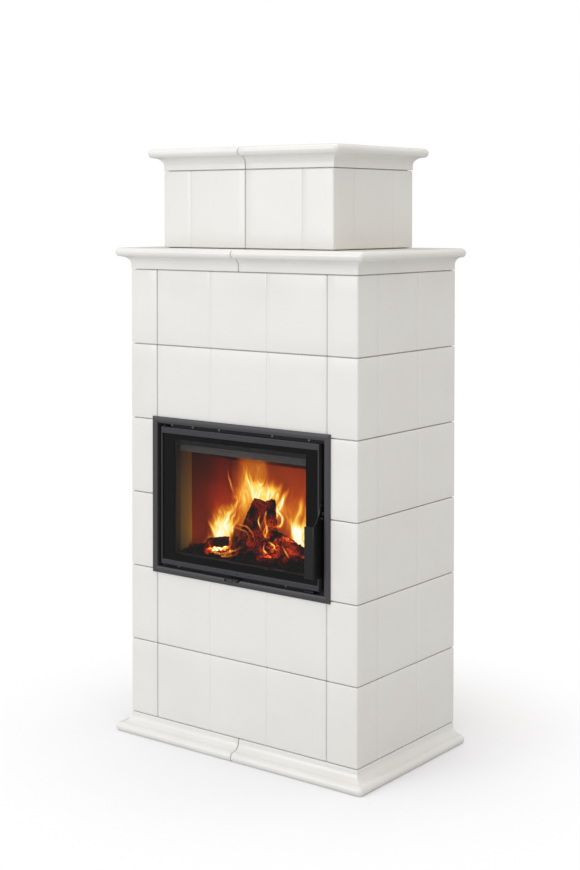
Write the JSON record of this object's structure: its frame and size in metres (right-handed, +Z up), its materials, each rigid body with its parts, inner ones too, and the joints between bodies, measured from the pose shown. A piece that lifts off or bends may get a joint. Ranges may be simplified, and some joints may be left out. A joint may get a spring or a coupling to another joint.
{
  "type": "tiled stove",
  "caption": "Tall tiled stove in plain glazed courses with moulded plinth, cornice and crown box, and a steel fire insert with a glazed side-hinged door and an air lever.",
  "frame": {"origin": "on the floor under the middle of the outline", "axes": "+X to the right seen from the front, +Y to the back, +Z up; the fire door looks along -Y"},
  "size_m": [0.96, 0.59, 1.8855],
  "materials": {
    "glaze": "glossy crackle-free glaze",
    "slab": "unglazed fireclay slab",
    "board": "calcium silicate board",
    "fireclay": "fireclay, lit by the fire",
    "vermiculite": "pressed vermiculite",
    "glass": "clear with a black printed border",
    "rope_seal": "braided glass rope",
    "dark_steel": "fine matt heat-proof paint",
    "bare_steel": "bare sheet",
    "zinc": "zinc plated",
    "flue_steel": "black heat-proof paint",
    "primed_steel": "primed",
    "body_steel": "black heat-proof paint"
  },
  "bodies": {
    "stove": {"air_channels": "bare_steel", "air_deflector": "bare_steel", "back_lining": "fireclay", "baffle": "vermiculite", "body_shell": "body_steel", "ceiling_slab": "slab", "cornice_left": "glaze", "cornice_right": "glaze", "course_1_left": "glaze", "course_1_panel": "glaze", "course_1_right": "glaze", "course_2_left": "glaze", "course_2_panel": "glaze", "course_2_right": "glaze", "course_3_left": "glaze", "course_3_right": "glaze", "course_4_left": "glaze", "course_4_right": "glaze", "course_5_left": "glaze", "course_5_panel": "glaze", "course_5_right": "glaze", "course_6_left": "glaze", "course_6_panel": "glaze", "course_6_right": "glaze", "crown_cornice_left": "glaze", "crown_cornice_right": "glaze", "crown_left": "glaze", "crown_right": "glaze", "crown_slab": "slab", "door_rest": "zinc", "flue_elbow": "flue_steel", "flue_pipe": "flue_steel", "flue_socket": "flue_steel", "front_plate": "body_steel", "hearth_bearers": "body_steel", "hearth_floor": "fireclay", "hinge_brackets": "body_steel", "latch_keeper": "zinc", "levelling_feet": "zinc", "lintel": "primed_steel", "plate_screws": "zinc", "plinth_left": "glaze", "plinth_right": "glaze", "rear_board_1": "board", "rear_board_2": "board", "rear_board_3": "board", "shutter_runners": "body_steel", "side_lining_left": "fireclay", "side_lining_right": "fireclay", "smoke_hood": "flue_steel", "stand": "primed_steel", "trim_frame": "dark_steel"},
    "door": {"door_leaf": "dark_steel", "door_glass": "glass", "glass_retainer": "body_steel", "retainer_screws": "zinc", "door_gasket": "rope_seal", "handle_pin": "zinc"},
    "lever": {"handle": "dark_steel"},
    "air_tab": {"air_lever": "dark_steel"}
  },
  "joints": [
    {"name": "door_hinge", "type": "hinge", "parent": "stove", "child": "door", "pos_m": [-0.298, -0.252, 0.5645], "axis": [0, 0, -1], "range_deg": [0, 105]},
    {"name": "lever_pivot", "type": "hinge", "parent": "door", "child": "lever", "pos_m": [0.3089, -0.25, 0.8185], "axis": [-1, 0, 0], "range_deg": [0, 40]},
    {"name": "air_slide", "type": "slide", "parent": "stove", "child": "air_tab", "axis": [0, -1, 0], "range_m": [0, 0.035]}
  ]
}
